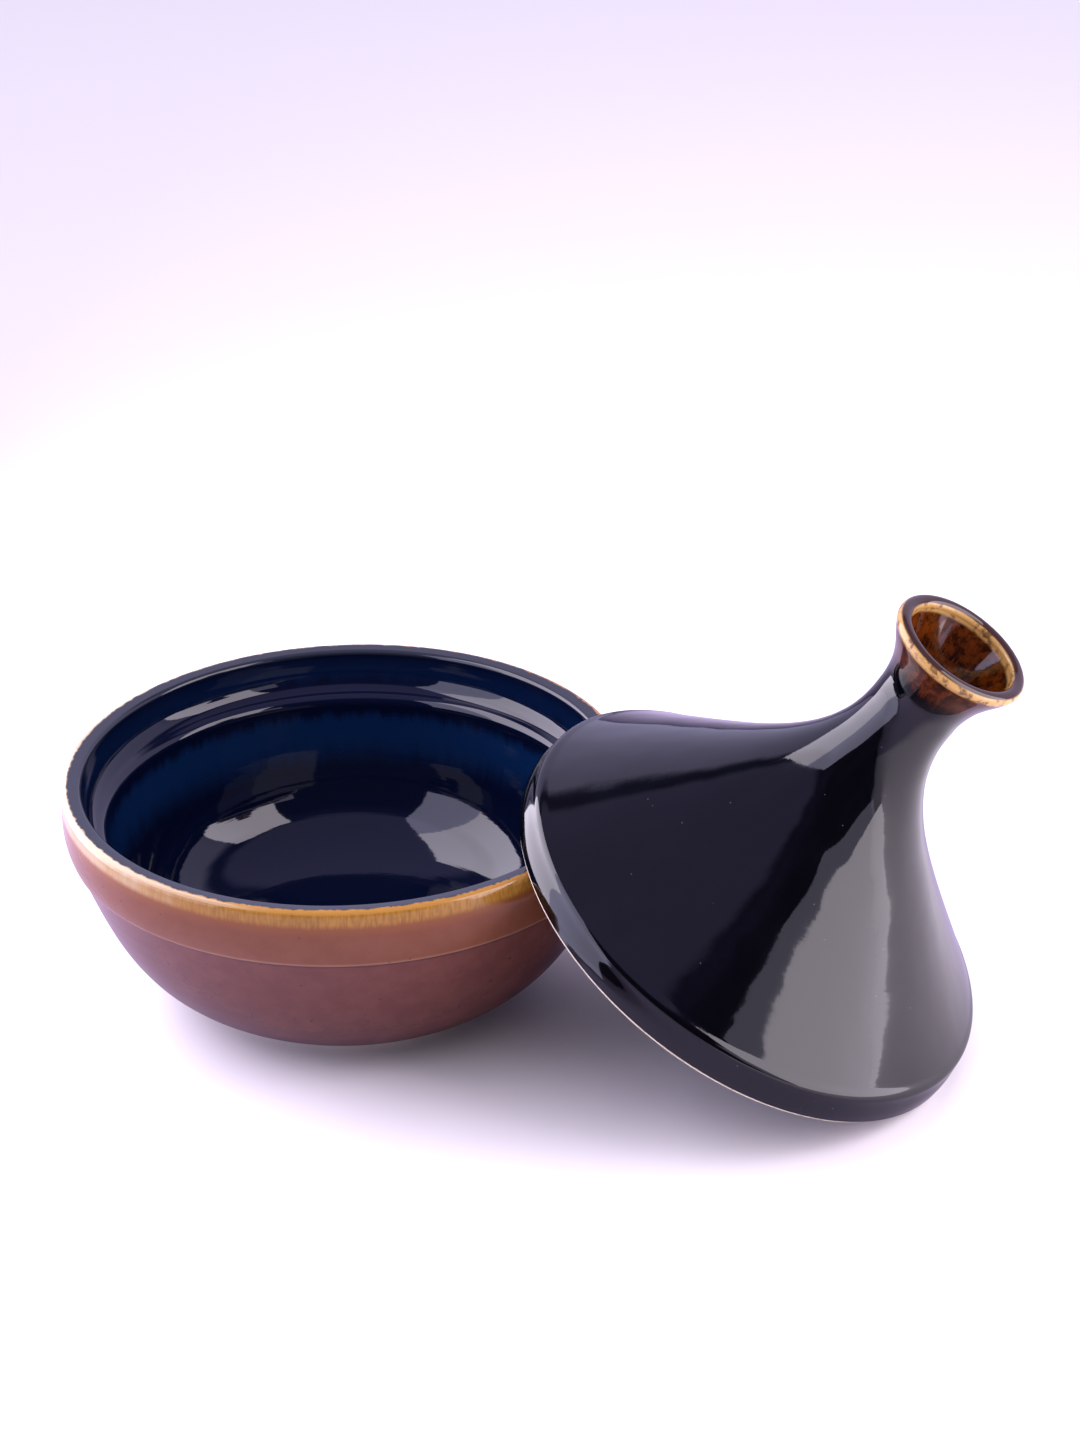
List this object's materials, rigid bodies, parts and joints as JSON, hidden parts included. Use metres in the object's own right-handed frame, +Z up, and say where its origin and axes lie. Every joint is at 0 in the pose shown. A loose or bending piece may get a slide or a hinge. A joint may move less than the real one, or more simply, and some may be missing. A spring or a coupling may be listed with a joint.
{
  "type": "tagine pot",
  "caption": "Glazed stoneware cooking bowl with a tall conical lid that leans on the bowl's lip, its neck flaring into a hollow cup-shaped knob.",
  "frame": {"origin": "centre of the bowl's foot ring, on the surface it stands on", "axes": "+Z up along the bowl's axis, +X towards the leaning lid, +Y to the left of it"},
  "size_m": [0.4356, 0.2588, 0.2256],
  "materials": {
    "bare_clay": "fired stoneware, unglazed, fine grain",
    "copper_glaze": "glossy copper-brown glaze that breaks to ochre below the lip",
    "cobalt_glaze": "glossy cobalt glaze, nearly black where thick",
    "black_glaze": "glossy blue-black glaze",
    "amber_glaze": "glossy amber-brown speckled glaze with an ochre edge"
  },
  "bodies": {
    "bowl": {"bowl_clay_body": "bare_clay", "bowl_outer_glaze": "copper_glaze", "bowl_inner_glaze": "cobalt_glaze"},
    "lid": {"lid_clay_body": "bare_clay", "lid_outer_glaze": "black_glaze", "lid_inner_glaze": "black_glaze", "knob_glaze": "amber_glaze"}
  },
  "joints": [
    {"name": "lid_lift", "type": "slide", "parent": "bowl", "child": "lid", "axis": [0.5314, 0, 0.8471], "range_m": [0, 0.2]}
  ]
}
